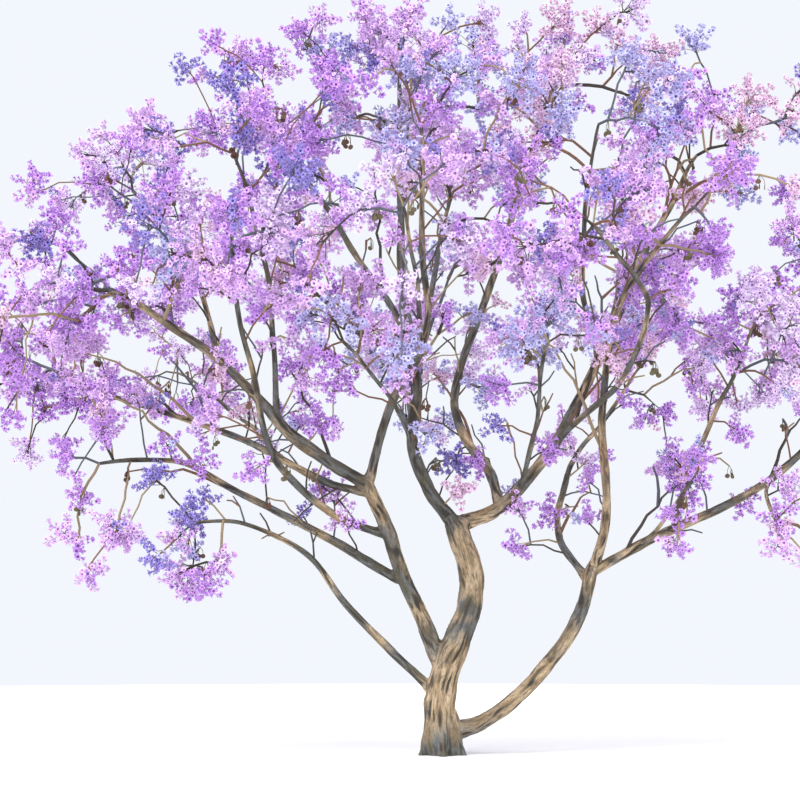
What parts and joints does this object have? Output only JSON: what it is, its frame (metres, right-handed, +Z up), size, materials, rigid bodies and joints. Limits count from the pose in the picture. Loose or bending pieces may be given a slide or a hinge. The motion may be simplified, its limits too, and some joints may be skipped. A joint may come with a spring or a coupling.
{
  "type": "jacaranda tree",
  "caption": "Wide spreading jacaranda in full bloom: a short leaning trunk forks into crooked boughs, each ending in a mass of violet blossom.",
  "frame": {"origin": "middle of the flat cut under the trunk, at ground level", "axes": "+Z up along the trunk, +X to the right and +Y away from the viewer in the reference picture"},
  "size_m": [15.4791, 11.7164, 11.7605],
  "materials": {
    "bark": "rough furrowed bark, tan to dark grey-brown",
    "blossom": "soft petals in violet, lilac and periwinkle"
  },
  "bodies": {
    "root": {"blossom_back_left": "blossom", "blossom_back_middle": "blossom", "blossom_back_right": "blossom", "blossom_front_left": "blossom", "blossom_front_middle": "blossom", "blossom_front_right": "blossom", "blossom_hang_left": "blossom", "blossom_hang_right": "blossom", "blossom_left": "blossom", "blossom_left_tip": "blossom", "blossom_low_front_left": "blossom", "blossom_low_front_right": "blossom", "blossom_right": "blossom", "blossom_right_front": "blossom", "blossom_right_tip": "blossom", "blossom_top_back": "blossom", "blossom_top_left": "blossom", "blossom_top_middle": "blossom", "blossom_top_right": "blossom", "blossom_tuft_left": "blossom", "blossom_tuft_right": "blossom", "blossom_upper_back_left": "blossom", "blossom_upper_back_right": "blossom", "blossom_upper_front": "blossom", "blossom_upper_front_left": "blossom", "blossom_upper_front_right": "blossom", "blossom_upper_left": "blossom", "blossom_upper_right": "blossom", "bough_back_left": "bark", "bough_back_middle": "bark", "bough_back_right": "bark", "bough_front_left": "bark", "bough_front_middle": "bark", "bough_front_right": "bark", "bough_hang_left": "bark", "bough_hang_right": "bark", "bough_left": "bark", "bough_left_tip": "bark", "bough_low_front_left": "bark", "bough_low_front_right": "bark", "bough_right": "bark", "bough_right_front": "bark", "bough_right_tip": "bark", "bough_top_back": "bark", "bough_top_left": "bark", "bough_top_middle": "bark", "bough_top_right": "bark", "bough_tuft_left": "bark", "bough_tuft_right": "bark", "bough_upper_back_left": "bark", "bough_upper_back_right": "bark", "bough_upper_front": "bark", "bough_upper_front_left": "bark", "bough_upper_front_right": "bark", "bough_upper_left": "bark", "bough_upper_right": "bark", "stem_left": "bark", "stem_low_right": "bark", "trunk": "bark"}
  },
  "joints": []
}
